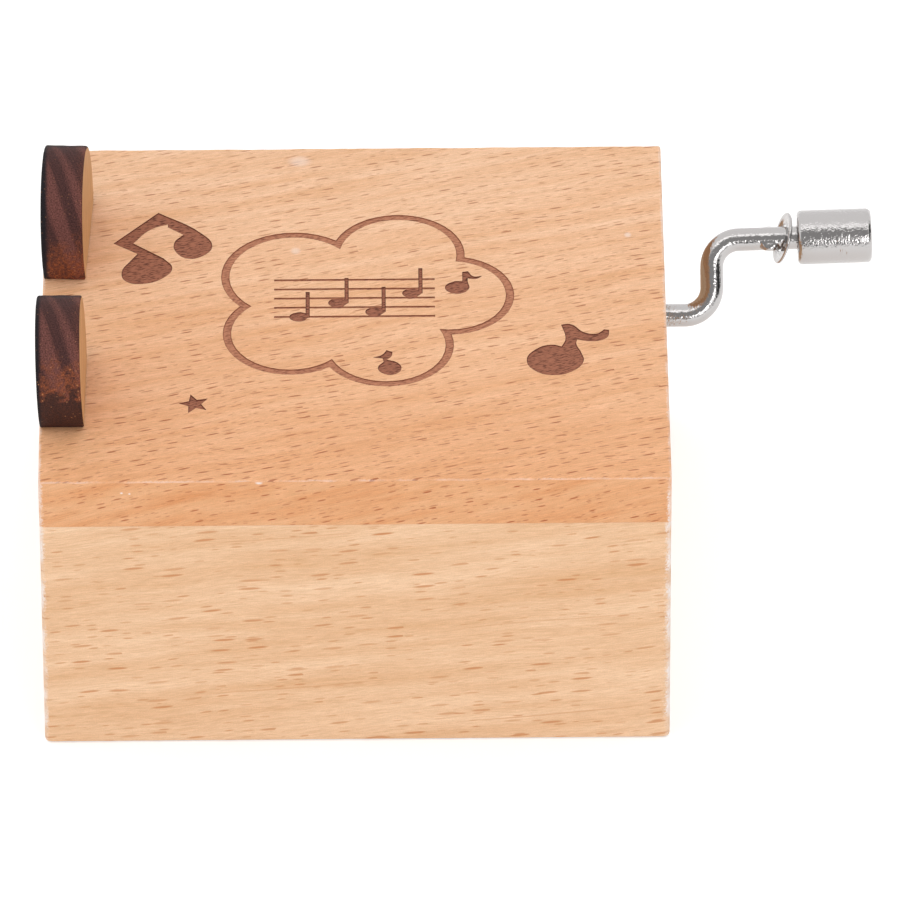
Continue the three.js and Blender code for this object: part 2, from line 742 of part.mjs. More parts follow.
const knobEnd = handleRun + knobLength;
const cavityEnd = knobEnd - knobEndWall;
const knobBoreRadius = wireRadius + boreClearance;
piece('knob', turned([
  [0, knobEnd],
  [knobRadius - knobEdge, knobEnd],
  [knobRadius, knobEnd - knobEdge],
  [knobRadius, handleRun + knobEdge],
  [knobRadius - knobEdge, handleRun],
  [knobBoreRadius, handleRun],
  [knobBoreRadius, handleRun + knobBoreLength],
  [knobCavityRadius, handleRun + knobBoreLength],
  [knobCavityRadius, cavityEnd],
  [0, cavityEnd],
].reverse(), FINE).rotateY(QUARTER_TURN), nickel, handle);

const washer = piece('knob_washer', turned([
  [washerHoleRadius, -washerThickness * HALF],
  [washerRadius, -washerThickness * HALF],
  [washerRadius, washerThickness * HALF],
  [washerHoleRadius, washerThickness * HALF],
  [washerHoleRadius, -washerThickness * HALF],
], FINE).rotateY(QUARTER_TURN), nickel, handle);
washer.position.x = washerPlace;
washer.rotation.set(0, washerTilt, washerTwist);

export default musicBox;
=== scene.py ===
"""Looks of a small beech music box with a wire crank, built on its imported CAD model.

The frame is the model's own, in metres: +X runs to the crank, -Y is the front and +Z is up.
"""

import json
import math

import bmesh
import bpy
from mathutils import Matrix, Vector, noise


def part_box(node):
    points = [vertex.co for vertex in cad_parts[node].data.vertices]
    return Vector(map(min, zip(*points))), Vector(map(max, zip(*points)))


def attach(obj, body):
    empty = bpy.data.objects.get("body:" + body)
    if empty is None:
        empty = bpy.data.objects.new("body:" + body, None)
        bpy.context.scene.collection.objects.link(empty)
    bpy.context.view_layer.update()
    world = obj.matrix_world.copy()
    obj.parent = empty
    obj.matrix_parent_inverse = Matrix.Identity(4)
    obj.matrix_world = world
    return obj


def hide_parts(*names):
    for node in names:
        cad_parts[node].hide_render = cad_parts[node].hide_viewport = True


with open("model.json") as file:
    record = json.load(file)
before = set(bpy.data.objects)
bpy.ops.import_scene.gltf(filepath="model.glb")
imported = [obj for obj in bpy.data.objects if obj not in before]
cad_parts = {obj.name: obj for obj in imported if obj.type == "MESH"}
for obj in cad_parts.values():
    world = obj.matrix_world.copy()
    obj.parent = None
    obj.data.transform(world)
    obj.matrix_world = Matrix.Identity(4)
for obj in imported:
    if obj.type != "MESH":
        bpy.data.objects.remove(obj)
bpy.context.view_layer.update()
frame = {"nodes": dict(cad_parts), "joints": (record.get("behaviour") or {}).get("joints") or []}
nodes = frame["nodes"]
mm = 0.001

# Case walls
# Four planed beech boards glued edge to edge, grain level, paler than the lid.
# Their upright arrises were left as the saw tore them, so they look frayed and chalky.

wall_easing = 0.45 * mm
glued_easing = 0.03 * mm
board_step = 0.5 * mm
easing_steps = 3
easing_wander_share = 0.55
wander_length = 1.7 * mm
arris_shift = 7.3
flat_enough = 0.99
wall_colours = ("#f4cfab", "#dcaa7c", "#c98450")
sawn_end_colours = ("#dcae84", "#b58660")
torn_white = "#f6e9e2"

# A pattern's lumps have a size in mm: along and across the grain, or along x, y and z.
sway_lump = (15, 15)
sway = 1.5 * mm
fibre_lump = (1.7, 0.13)
fibre_warmth = (0.75, 1, 1.35)
fine_crumb = (0.14, 0.14)
torn_crumb = (0.24, 0.24)
tear_lump = (2.5, 2.5)
pore_lump = (0.6, 0.22)
ring_lump = (40, 16, 1.9)
ring_turn = (0.5, 0, 0)
unripe_share = 0.75
faint_fleck_share = 0.4
full_fleck_share = 1 / 3
least_torn_share = 0.2


def linear(hex_colour):
    """An sRGB colour such as #e6b28a in the linear values that shaders take, with full alpha."""
    full = 255
    low_step = 0.04045
    low_slope = 12.92
    foot = 0.055
    bend = 2.4
    parts = [level / full for level in bytes.fromhex(hex_colour[1:])]
    lit = [part / low_slope if part <= low_step else ((part + foot) / (1 + foot)) ** bend for part in parts]
    return (*lit, 1)


def feed(node, inputs):
    """Sets or links a node's inputs, given by name or number, or as a run in their own order.

    A node given as a value stands for its first live output. A MapRange's run is the value, the two
    ends that it comes from and the two that it goes to. A Mix node's two colours are inputs 6 and 7.
    """
    pairs = inputs.items() if isinstance(inputs, dict) else enumerate(inputs)
    for socket, value in pairs:
        if isinstance(value, bpy.types.Node):
            value = next(output for output in value.outputs if output.enabled)
        if isinstance(value, bpy.types.NodeSocket):
            node.id_data.links.new(value, node.inputs[socket])
        else:
            node.inputs[socket].default_value = value
    return node


def add(tree, kind, inputs=(), **settings):
    """Adds one shader node with its settings and links."""
    node = tree.nodes.new("ShaderNode" + kind)
    for name, value in settings.items():
        setattr(node, name, value)
    return feed(node, inputs)


def surface(name, **plain_values):
    """A new material, its node tree and its Principled shader with the plain values set."""
    material = bpy.data.materials.new(name)
    material.use_nodes = True
    tree = material.node_tree
    plain = {socket.replace("_", " "): value for socket, value in plain_values.items()}
    return material, tree, feed(tree.nodes["Principled BSDF"], plain)


def grain(tree, place, lump, turn=(0, 0, 0), detail=2, roughness=0.5, **settings):
    """Noise whose lumps have a real size in mm, laid in a direction of its own."""
    scale = [part * mm for part in (lump[0], lump[1], lump[-1])]
    laid = add(tree, "Mapping", {"Vector": place, "Rotation": turn, "Scale": scale}, vector_type="TEXTURE")
    return add(tree, "TexNoise", {"Vector": laid, "Scale": 1, "Detail": detail, "Roughness": roughness},
               **settings)


def planed_beech(name, colours, turn, rays, bands=(26, 1.9), fibre=0.14, torn=(), ripe=(), spots=()):
    """Planed beech: a dull, even sheen, streaks along the grain, and rays that show as short dark flecks.

    Colours are the pale streaks, the deep ones and the flecks. The turn lays the grain's direction and
    the face. Rays are (room along and across the grain for each fleck, its half length and half width,
    all in mm, the share of places used, and the strength). Bands are the streaks' length and width in
    mm, and fibre is how strongly single fibres show. Torn arrises, as (axis, place, width, strength),
    are pale and crumbled. Ripe wood, as (axis, from, to, tint), grows deeper and more flecked. Spots
    are small bruises and stains, and patches of painted shadow, as (centre and reach in mm, colour,
    strength).
    """
    pale, deep, fleck = (linear(colour) for colour in colours)
    material, tree, shader = surface(name, Roughness=0.62, IOR=1.5)
    place = add(tree, "TexCoord").outputs["Object"]
    parts = add(tree, "SeparateXYZ", (place,))
    swayed = grain(tree, place, sway_lump, detail=1)
    bent = add(tree, "VectorMath", (swayed.outputs["Color"], [sway] * 3, place), operation="MULTIPLY_ADD")
    streaks = grain(tree, bent, bands, turn, detail=5, roughness=0.6)
    depth = add(tree, "MapRange", (streaks, 0.26, 0.74))
    colour = add(tree, "Mix", {0: depth, 6: pale, 7: deep}, data_type="RGBA")
    ripeness = 1
    if ripe:
        axis, start, end, tint = ripe
        grown = add(tree, "MapRange", (parts.outputs[axis], start, end))
        ripeness = add(tree, "MapRange", (grown, 0, 1, unripe_share, 1))
        colour = add(tree, "Mix", {0: grown, 6: colour, 7: linear(tint)}, data_type="RGBA",
                     blend_type="MULTIPLY")
    fibres = grain(tree, bent, fibre_lump, turn, detail=3, roughness=0.7)
    paler = add(tree, "MapRange", (fibres, 0.3, 0.7, -fibre, fibre))
    fibre_light = add(tree, "VectorMath", (paler, fibre_warmth, (1, 1, 1)), operation="MULTIPLY_ADD")
    crumbs = grain(tree, place, fine_crumb, roughness=0.7)
    crumb_light = add(tree, "MapRange", (crumbs, 0.3, 0.7, 0.93, 1.07))
    for light in (fibre_light, crumb_light):
        colour = add(tree, "VectorMath", (colour, light), operation="MULTIPLY")
    height = fibres
    for room, half_size, share, strength in rays:
        scale = (room[0] * mm, room[1] * mm, room[1] * mm)
        spot = add(tree, "Mapping", {"Vector": bent, "Rotation": turn, "Scale": scale},
                   vector_type="TEXTURE")
        cells = add(tree, "TexVoronoi", {"Vector": spot, "Scale": 1, "Randomness": 0.9},
                    voronoi_dimensions="2D")
        chance = add(tree, "SeparateColor", (cells.outputs["Color"],))
        away = add(tree, "VectorMath", (spot, cells.outputs["Position"]), operation="SUBTRACT")
        ratio = (room[0] / half_size[0], room[1] / half_size[1], 0)
        scaled = add(tree, "VectorMath", (away, ratio), operation="MULTIPLY")
        distance = add(tree, "VectorMath", (scaled,), operation="LENGTH")
        size = add(tree, "MapRange", (chance.outputs[0], 1 - share, 1 - share * full_fleck_share))
        inside = add(tree, "Math", (size, distance), operation="SUBTRACT")
        most = add(tree, "MapRange", (chance.outputs[1], 0, 1, strength * faint_fleck_share, strength))
        most = add(tree, "Math", (most, ripeness), operation="MULTIPLY")
        mask = add(tree, "MapRange", (inside, 0, 0.5, 0, most), interpolation_type="SMOOTHSTEP")
        colour = add(tree, "Mix", {0: mask, 6: colour, 7: fleck}, data_type="RGBA")
        height = add(tree, "Math", (height, mask), operation="SUBTRACT")
    if torn:
        loose = grain(tree, place, torn_crumb, detail=4, roughness=0.75)
        patches = grain(tree, place, tear_lump, detail=1)
    for axis, edge, width, strength in torn:
        away = add(tree, "Math", (parts.outputs[axis], edge), operation="SUBTRACT")
        away = add(tree, "Math", (away,), operation="ABSOLUTE")
        near = add(tree, "MapRange", (away, width, 0, -0.2, 0.3))
        broken = add(tree, "Math", (near, loose))
        most = add(tree, "MapRange", (patches, 0.4, 0.6, strength * least_torn_share, strength))
        mask = add(tree, "MapRange", (broken, 0.5, 0.7, 0, most))
        colour = add(tree, "Mix", {0: mask, 6: colour, 7: linear(torn_white)}, data_type="RGBA")
        height = add(tree, "Math", (height, mask))
    # Spots lay bruises, stains and patches of painted shadow over the wood.
    for centre, reach, paint, strength in spots:
        away = add(tree, "VectorMath", (place, [part * mm for part in centre]), operation="SUBTRACT")
        scaled = add(tree, "VectorMath", (away, [1 / (part * mm) for part in reach]), operation="MULTIPLY")
        distance = add(tree, "VectorMath", (scaled,), operation="LENGTH")
        mask = add(tree, "MapRange", (distance, 1, 0.2, 0, strength), interpolation_type="SMOOTHSTEP")
        colour = add(tree, "Mix", {0: mask, 6: colour, 7: linear(paint)}, data_type="RGBA")
    bump = add(tree, "Bump", {"Height": height, "Strength": 0.4, "Distance": 0.03 * mm})
    feed(shader, {"Base Color": colour, "Normal": bump})
    return material


def beech_end_grain(name, colours):
    """Sawn beech end grain: rough, darker, with fine pores close together and faint ring bands."""
    ground, pore = (linear(colour) for colour in colours)
    material, tree, shader = surface(name, Roughness=0.75, IOR=1.5)
    place = add(tree, "TexCoord").outputs["Object"]
    scale = (pore_lump[0] * mm, pore_lump[1] * mm, pore_lump[1] * mm)
    fine = add(tree, "Mapping", {"Vector": place, "Scale": scale}, vector_type="TEXTURE")
    pores = add(tree, "TexVoronoi", {"Vector": fine, "Scale": 1}).outputs["Distance"]
    pore_mask = add(tree, "MapRange", (pores, 0.2, 0.5, 0.7, 0))
    rings = grain(tree, place, ring_lump, ring_turn)
    ring_light = add(tree, "MapRange", (rings, 0.3, 0.7, 0.86, 1.08))
    wood = add(tree, "Mix", {0: pore_mask, 6: ground, 7: pore}, data_type="RGBA")
    ringed = add(tree, "VectorMath", (wood, ring_light), operation="MULTIPLY")
    bump = add(tree, "Bump", {"Height": pores, "Strength": 0.4, "Distance": 0.03 * mm})
    feed(shader, {"Base Color": ringed, "Normal": bump})
    return material


def eased_end(easing):
    """A rounded end's steps, each as how far in it lies and how far its outline draws in there."""
    turns = [math.pi / 2 * (1 - step / easing_steps) for step in range(easing_steps + 1)]
    return [(easing * (1 - math.sin(turn)), easing * (1 - math.cos(turn))) for turn in turns]


def skinned(mesh, rings, round_again=False):
    """Joins rings of points into a skin, closed by flat ends unless it runs round again."""
    following_rings = rings[1:] + rings[:1] if round_again else rings[1:]
    for ring, following in zip(rings, following_rings):
        for number in range(len(ring)):
            after = (number + 1) % len(ring)
            mesh.faces.new((ring[number], ring[after], following[after], following[number]))
    if not round_again:
        mesh.faces.new(rings[0])
        mesh.faces.new(rings[-1])
    bmesh.ops.recalc_face_normals(mesh, faces=mesh.faces)


def placed(name, mesh, finishes, smooth=False):
    """Turns mesh code's result into an object in the scene, with its materials."""
    data = bpy.data.meshes.new(name)
    mesh.to_mesh(data)
    mesh.free()
    for finish in finishes:
        data.materials.append(finish)
    for face in data.polygons:
        face.use_smooth = smooth
    piece = bpy.data.objects.new(name, data)
    bpy.context.scene.collection.objects.link(piece)
    return piece


def planed_board(name, low, high, along, open_sides, open_ends, easing, finishes):
    """A board lofted along one axis. Open arrises are eased unevenly, glued ones are left tight.

    Finishes name the material of the faces that look along x, y and z.
    """
    across = [axis for axis in range(3) if axis != along]
    ends = []
    for end, inward, is_open in ((low[along], 1, open_ends[0]), (high[along], -1, open_ends[1])):
        steps = eased_end(easing) if is_open else [(0, 0)]
        ends.append([(end + inward * offset, inset) for offset, inset in steps])
    first, last = ends
    start = first[-1][0]
    gap = last[-1][0] - start
    count = max(2, round(gap / board_step))
    middle = [(start + gap * step / count, 0) for step in range(1, count)]
    corners = ((0, 0), (1, 0), (1, 1), (0, 1))
    mesh = bmesh.new()
    rings = []
    for spot, inset in first + middle + last[::-1]:
        ring = []
        sides = []
        for side in range(4):
            edge = (low, high)[side % 2][across[side // 2]]
            inward = (1, -1)[side % 2]
            sides.append(edge + inward * (inset if open_sides[side] else 0))
        for number, (first_side, second_side) in enumerate(corners):
            both_open = open_sides[first_side] and open_sides[2 + second_side]
            drift = noise.noise(Vector((spot / wander_length, number * arris_shift, low[0] / mm)))
            radius = easing * (1 + easing_wander_share * drift) if both_open else glued_easing
            signs = (1 - 2 * first_side, 1 - 2 * second_side)
            centre = (sides[first_side] + signs[0] * radius, sides[2 + second_side] + signs[1] * radius)
            for step in range(easing_steps + 1):
                turn = math.pi + math.pi / 2 * (number + step / easing_steps)
                point = [0, 0, 0]
                point[along] = spot
                point[across[0]] = centre[0] + radius * math.cos(turn)
                point[across[1]] = centre[1] + radius * math.sin(turn)
                ring.append(mesh.verts.new(point))
        rings.append(ring)
    skinned(mesh, rings)
    thinnest = min(range(3), key=lambda axis: high[axis] - low[axis])
    for face in mesh.faces:
        facing = max(range(3), key=lambda axis: abs(face.normal[axis]))
        face.material_index = facing if abs(face.normal[facing]) > flat_enough else thinnest
    return placed(name, mesh, finishes)


def cut_out(piece, cutter):
    """Cuts one solid out of another, whose cut faces take the cutter's materials."""
    for finish in cutter.data.materials:
        if finish.name not in piece.data.materials:
            piece.data.materials.append(finish)
    cutting = piece.modifiers.new("cut", "BOOLEAN")
    cutting.operation = "DIFFERENCE"
    cutting.solver = "EXACT"
    cutting.material_mode = "TRANSFER"
    cutting.object = cutter
    kept = bpy.data.meshes.new_from_object(piece.evaluated_get(bpy.context.evaluated_depsgraph_get()))
    piece.modifiers.clear()
    piece.data = kept
    bpy.data.objects.remove(cutter)


def stands_for(piece, node, body):
    """Puts a piece in a CAD node's place: it rides on the node's body, and the node is hidden."""
    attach(piece, body)
    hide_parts(node)


def finish_nodes(material, *names):
    """Gives CAD nodes, whose shape is already right, their real finish."""
    for name in names:
        nodes[name].data.materials.clear()
        nodes[name].data.materials.append(material)


# The grain of a wall rises a little to the right on the front, and runs along y on the end walls.
front_turn = (math.radians(90), math.radians(-6), 0)
end_turn = (math.radians(90), math.radians(-2), math.radians(90))
bottom_turn = (0, 0, math.radians(3))
front_bands = (34, 2.6)
wall_rays = (
    ((3.6, 1.3), (1.4, 0.18), 0.55, 0.9),
    ((2, 0.8), (0.8, 0.13), 0.5, 0.7),
    ((27, 3.4), (13, 0.11), 0.5, 0.55),
)
wall_low, wall_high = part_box("front_wall")
torn_sides = (
    (0, wall_low.x, 0.8 * mm, 0.9),
    (0, wall_high.x, 1 * mm, 1),
    (2, wall_low.z, 0.4 * mm, 0.5),
)
front_beech = planed_beech("front_wall_planed_beech", wall_colours, front_turn, wall_rays, front_bands,
                           torn=torn_sides)
end_beech = planed_beech("end_wall_planed_beech", wall_colours, end_turn, wall_rays)
sawn_end = beech_end_grain("wall_sawn_end_grain", sawn_end_colours)

wall_open_sides = {
    "front_wall": (True, True, True, False),
    "back_wall": (True, True, False, True),
    "left_end_wall": (True, False, False, False),
    "right_end_wall": (False, True, False, False),
}
walls = {}
for node, open_sides in wall_open_sides.items():
    finishes = [end_beech, sawn_end, end_beech] if "end" in node else [sawn_end, front_beech, front_beech]
    walls[node] = planed_board(node + "_beech", *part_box(node), 2, open_sides, (True, False),
                               wall_easing, finishes)

# The wire's hole in the right end wall is drilled, so its wall shows torn end grain.
wire_hole_radius = 2 * mm
wire_hole_facets = 48
drill_length = 16 * mm
wire_hole_place = Vector(frame["joints"][0]["pos_m"])
drill = bmesh.new()
bmesh.ops.create_cone(drill, cap_ends=True, segments=wire_hole_facets, radius1=wire_hole_radius,
                      radius2=wire_hole_radius, depth=drill_length,
                      matrix=Matrix.Translation(wire_hole_place) @ Matrix.Rotation(math.pi / 2, 4, "Y"))
cut_out(walls["right_end_wall"], placed("wire_hole_drill", drill, [sawn_end]))
for node, wall in walls.items():
    stands_for(wall, node, "case")

bottom_beech = planed_beech("bottom_plate_planed_beech", wall_colours, bottom_turn, wall_rays)
finish_nodes(bottom_beech, "bottom_plate", "left_cleat", "right_cleat")

# Screws
# Small steel screws, plated with yellow zinc. Four are sunk in the bottom plate, the others hold
# the movement together.

zinc_drift = (1.11, 1.11)
zinc_colours = ("#d8c48a", "#d6b0a0")


def two_tone(name, colours, lump, detail=2, relief=(), **plain_values):
    """A material that drifts between two colours, with a relief as (strength, depth in mm)."""
    material, tree, shader = surface(name, **plain_values)
    pattern = grain(tree, add(tree, "TexCoord").outputs["Object"], lump, detail=detail)
    one, other = (linear(colour) for colour in colours)
    feed(shader, {"Base Color": add(tree, "Mix", {0: pattern, 6: one, 7: other}, data_type="RGBA")})
    if relief:
        feed(shader, {"Normal": add(tree, "Bump", {"Height": pattern, "Strength": relief[0],
                                                   "Distance": relief[1] * mm})})
    return material


# Passivated zinc is half bright, and its thin film drifts in colour from straw to pink.
screw_zinc = two_tone("yellow_zinc_plated_steel", zinc_colours, zinc_drift, Metallic=1, Roughness=0.3)
finish_nodes(screw_zinc, *(name for name in nodes if "screw" in name))

# Top board
# One piece of steamed beech, pinker than the walls, glued on the four walls.
# The figures are burnt in by laser, about a tenth of a millimetre deep.

lid_easing = 0.22 * mm
lid_fibre = 0.19
lid_colours = ("#f3c9a6", "#e3ad80", "#a85b2c")
lid_ripe_tint = "#f9e5d0"
lid_end_colours = ("#d8a173", "#a9734f")
strip_colours = ("#e9b588", "#da935d", "#ad5a2b")
strip_bands = (13, 1.8)
# Painted shadow: a brown that darkens the lid beside the discs, where their shade falls.
disc_shadow_paint = "#8d6450"
broad_colours = ("#a46951", "#593329")
broad_edge_colours = ("#80493a", "#5a342a")
stroke_colours = ("#bf8264", "#84503e")
stroke_edge_colours = ("#a2674d", "#84503e")
dash_lump = (0.7, 0.15)
burn_depth = 0.09 * mm
burn_ring = 0.09 * mm
bend_facets = 6
tiny = 0.001 * mm
top_low, top_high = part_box("top_board")
lid_turn = (0, 0, math.radians(15))
lid_rays = (
    ((2, 0.95), (0.85, 0.12), 0.8, 1),
    ((1.1, 0.6), (0.42, 0.08), 0.6, 0.7),
)
strip_turn = (math.radians(90), math.radians(-14), 0)
strip_rays = (
    ((1.8, 0.7), (0.6, 0.11), 0.6, 1),
    ((1, 0.5), (0.34, 0.07), 0.6, 0.6),
)
torn_lid = (
    (0, top_low.x, 0.5 * mm, 0.5),
    (0, top_high.x, 0.5 * mm, 0.5),
    (1, top_low.y, 0.2 * mm, 0.3),
    (1, top_high.y, 0.35 * mm, 0.5),
)
torn_strip = (
    (0, top_low.x, 0.7 * mm, 0.6),
    (0, top_high.x, 0.8 * mm, 0.9),
    (2, top_high.z, 0.15 * mm, 0.25),
)

# Three pale bruises, and painted shadow on the board beside the discs, where their shade falls.
lid_spots = (
    ((-5.6, 25.7, 34), (1.6, 1.3, 9), torn_white, 0.35),
    ((-6, 10.3, 34), (0.7, 0.8, 9), torn_white, 0.35),
    ((28.3, 12.6, 34), (0.5, 0.6, 9), torn_white, 0.45),
    ((-27, 14, 34), (2.6, 9, 9), disc_shadow_paint, 0.16),
    ((-27, -12, 34), (2.4, 9, 9), disc_shadow_paint, 0.16),
)
strip_spots = (
    ((-9.7, -28, 33.7), (0.5, 9, 0.3), torn_white, 0.9),
    ((-23.6, -28, 32.5), (0.2, 9, 0.17), torn_white, 0.9),
    ((-22.8, -28, 32.4), (0.17, 9, 0.14), torn_white, 0.9),
)
lid_beech = planed_beech("top_board_steamed_beech", lid_colours, lid_turn, lid_rays, fibre=lid_fibre,
                         torn=torn_lid, ripe=(1, top_high.y, top_low.y, lid_ripe_tint), spots=lid_spots)
strip_beech = planed_beech("top_board_front_edge_beech", strip_colours, strip_turn, strip_rays, strip_bands,
                           torn=torn_strip, spots=strip_spots)
lid_end = beech_end_grain("top_board_sawn_end_grain", lid_end_colours)
lid = planed_board("top_board_beech", top_low, top_high, 0, (True, True, False, True), (True, True),
                   lid_easing, [lid_end, strip_beech, lid_beech])


def burnt_beech(name, colours):
    """Laser burnt beech: dull brown with short dark dashes, where the beam bit deeper beside each ray."""
    ground, dark = (linear(colour) for colour in colours)
    material, tree, shader = surface(name, Roughness=0.85, Specular_IOR_Level=0.2)
    dashes = grain(tree, add(tree, "TexCoord").outputs["Object"], dash_lump, lid_turn, roughness=0.6)
    dash_mask = add(tree, "MapRange", (dashes, 0.46, 0.66))
    wood = add(tree, "Mix", {0: dash_mask, 6: ground, 7: dark}, data_type="RGBA")
    bump = add(tree, "Bump", {"Height": dashes, "Strength": 0.5, "Distance": 0.05 * mm}, invert=True)
    feed(shader, {"Base Color": wood, "Normal": bump})
    return material


# Broad figures were burnt line by line and came out darker than single strokes. Both have a dark
# contour.
broad_burn = (burnt_beech("laser_burnt_beech", broad_colours),
              burnt_beech("laser_burnt_beech_edge", broad_edge_colours))
stroke_burn = (burnt_beech("laser_stroke_beech", stroke_colours),
               burnt_beech("laser_stroke_beech_edge", stroke_edge_colours))


def burn(name, outlines, finishes=broad_burn, depth=burn_depth):
    """Burns a flat figure into the lid. Outlines are closed runs of (x, y) or (x, y, "corner") in mm."""
    curve = bpy.data.curves.new(name, "CURVE")
    curve.dimensions = "2D"
    curve.fill_mode = "BOTH"
    curve.extrude = depth
    curve.resolution_u = bend_facets
    for outline in outlines:
        spline = curve.splines.new("BEZIER")
        spline.bezier_points.add(len(outline) - 1)
        spline.use_cyclic_u = True
        for knot, point in zip(spline.bezier_points, outline):
            knot.co = (point[0] * mm, point[1] * mm, 0)
            kind = "VECTOR" if len(point) > 2 else "AUTO"
            knot.handle_left_type = kind
            knot.handle_right_type = kind
    stencil = bpy.data.objects.new(name, curve)
    bpy.context.scene.collection.objects.link(stencil)
    filled = bpy.data.meshes.new_from_object(stencil.evaluated_get(bpy.context.evaluated_depsgraph_get()))
    bpy.data.objects.remove(stencil)
    mesh = bmesh.new()
    mesh.from_mesh(filled)
    bmesh.ops.remove_doubles(mesh, verts=mesh.verts, dist=tiny)
    bmesh.ops.recalc_face_normals(mesh, faces=mesh.faces)
    for face in mesh.faces:
        face.material_index = 0 if face.normal.z < -flat_enough else 1
    floor = [face for face in mesh.faces if face.material_index == 0]
    contour = bmesh.ops.inset_region(mesh, faces=floor, thickness=burn_ring, use_even_offset=True)
    for face in contour["faces"]:
        face.material_index = 1
    bmesh.ops.translate(mesh, verts=mesh.verts, vec=(0, 0, top_high.z))
    cut_out(lid, placed(name, mesh, finishes))


# A cloud of five round lobes, as (x, y, radius) in mm, drawn with one even stroke.
cloud_lobes = (
    (-6.2, 5.97, 7.04),
    (4.54, 9.42, 6.47),
    (9.83, 2.56, 6.2),
    (3.32, -5.77, 6.45),
    (-6.51, -3.63, 6.52),
)
cloud_stroke = 0.85
lobe_steps = 20


def corner(centre, reach, turn):
    """A sharp point of an outline, so far from a centre at an angle."""
    return (centre[0] + reach * math.cos(turn), centre[1] + reach * math.sin(turn), "corner")


def cloud_outline(grow):
    """The outline of the joined lobes, clockwise, with each circle grown by so many mm."""
    def crossing(one, other):
        """Where two neighbouring lobes meet on the cloud's outside."""
        a, b = Vector(one[:2]), Vector(other[:2])
        apart = (b - a).length
        reach = one[2] + grow
        along = (apart ** 2 + reach ** 2 - (other[2] + grow) ** 2) / (2 * apart)
        aside = math.sqrt(reach ** 2 - along ** 2)
        forward = (b - a) / apart
        return a + forward * along + Vector((-forward.y, forward.x)) * aside

    points = []
    for number, lobe in enumerate(cloud_lobes):
        following = cloud_lobes[(number + 1) % len(cloud_lobes)]
        centre = Vector(lobe[:2])
        start = crossing(cloud_lobes[number - 1], lobe) - centre
        finish = crossing(lobe, following) - centre
        first = math.atan2(start.y, start.x)
        sweep = (first - math.atan2(finish.y, finish.x)) % (2 * math.pi)
        for step in range(lobe_steps):
            points.append(corner(centre, lobe[2] + grow, first - sweep * step / lobe_steps))
    return points


burn("cloud_figure", [cloud_outline(cloud_stroke / 2), cloud_outline(-cloud_stroke / 2)], stroke_burn)

note_figures = {
    "beamed_note": [
        (-24.8, 11.8, "corner"), (-20.2, 17, "corner"), (-15.8, 13.5), (-14.6, 11.3), (-15.4, 9.7),
        (-17, 9.1), (-18.3, 10.2), (-18.5, 11.9), (-17.6, 13.2, "corner"), (-19.2, 14.5, "corner"),
        (-19.2, 15, "corner"), (-20.9, 14.2), (-22.75, 11.8, "corner"), (-19.6, 9.2, "corner"),
        (-18.7, 7.6), (-19.6, 5.9), (-21.6, 4.9), (-23.4, 5.3), (-23.9, 6.9), (-22.9, 9, "corner"),
        (-22.3, 10, "corner"),
    ],
    "single_note": [
        (21.2, -2.55, "corner"), (22.1, -2.45), (23.6, -3.9), (24.8, -4.1), (25.6, -3.4, "corner"),
        (26.1, -3.5, "corner"), (25.9, -4.7), (25, -5.3), (23.6, -5.3), (22.8, -5.05, "corner"),
        (22.7, -5.7), (23.2, -7.3), (23.4, -8.7), (22.2, -10.4), (20.3, -11), (18.5, -10.3),
        (17.6, -8.5), (18.4, -6.8), (20.1, -5.9), (21.2, -6.2, "corner"), (21.6, -5),
    ],
    "small_upper_note": [
        (11.15, 6.5, "corner"), (11.75, 6.6, "corner"), (12.3, 5.75), (13.2, 5.8, "corner"),
        (12.6, 5.3), (11.7, 5.4, "corner"), (11.7, 4.8, "corner"), (11.8, 3.6), (10.6, 2.8),
        (9.35, 3.8), (10.3, 4.9), (11.15, 4.9, "corner"),
    ],
    "small_lower_note": [
        (3.3, -6.6, "corner"), (3.9, -6.9, "corner"), (3.8, -7.6), (3.35, -8.2, "corner"), (4.4, -8.7),
        (4.8, -9.6), (4.2, -10.6), (3.1, -10.6), (2.4, -9.6), (3, -8.5, "corner"), (2.9, -8, "corner"),
        (1.9, -7.8, "corner"), (2.8, -7.4),
    ],
}
for name, outline in note_figures.items():
    burn(name + "_figure", [outline])

star_points = 5
star_centre = (-16.3, -15.3)
star_radius = 1.62
star_inner_share = 0.44
star_tilt = math.radians(104)
star = []
for number in range(2 * star_points):
    reach = star_radius * (star_inner_share if number % 2 else 1)
    star.append(corner(star_centre, reach, star_tilt + math.pi * number / star_points))
burn("star_figure", [star])

# The middle of the cloud holds a plain stave of five lines with four notes, placed by x and by pitch.
stave_lines = 5
stave_left = -8.2
stave_right = 8.3
stave_bottom = -0.9
stave_pitch = 1.55
stave_line = 0.32
stave_notes = ((-5.6, 0), (-1.6, 1.5), (2.2, 0.5), (6, 2.5))
note_head = (1.05, 0.8)
note_stem = 4.2
note_stem_width = 0.42
note_joint_share = 0.75
note_depth_share = 1.08
for number in range(stave_lines):
    middle = stave_bottom + number * stave_pitch
    low, high = middle - stave_line / 2, middle + stave_line / 2
    ends = ((stave_left, low), (stave_right, low), (stave_right, high), (stave_left, high))
    burn(f"stave_line_{number + 1}", [[(*end, "corner") for end in ends]], stroke_burn)
for number, (x, place) in enumerate(stave_notes):
    y = stave_bottom + place * stave_pitch
    right = x + note_head[0]
    burn(f"stave_note_{number + 1}", [[
        (right, y + note_stem, "corner"), (right - note_stem_width, y + note_stem, "corner"),
        (right - note_stem_width, y + note_head[1] * note_joint_share, "corner"), (x, y + note_head[1]),
        (x - note_head[0], y), (x, y - note_head[1]), (right, y, "corner"),
    ]], depth=burn_depth * note_depth_share)
stands_for(lid, "top_board", "case")

# Upright discs
# Two small hardwood discs, cut by laser and flat below, glued by hand along the lid's left edge.
# The beam left their rims burnt dark, while the faces kept the bare wood. The front one comes first.

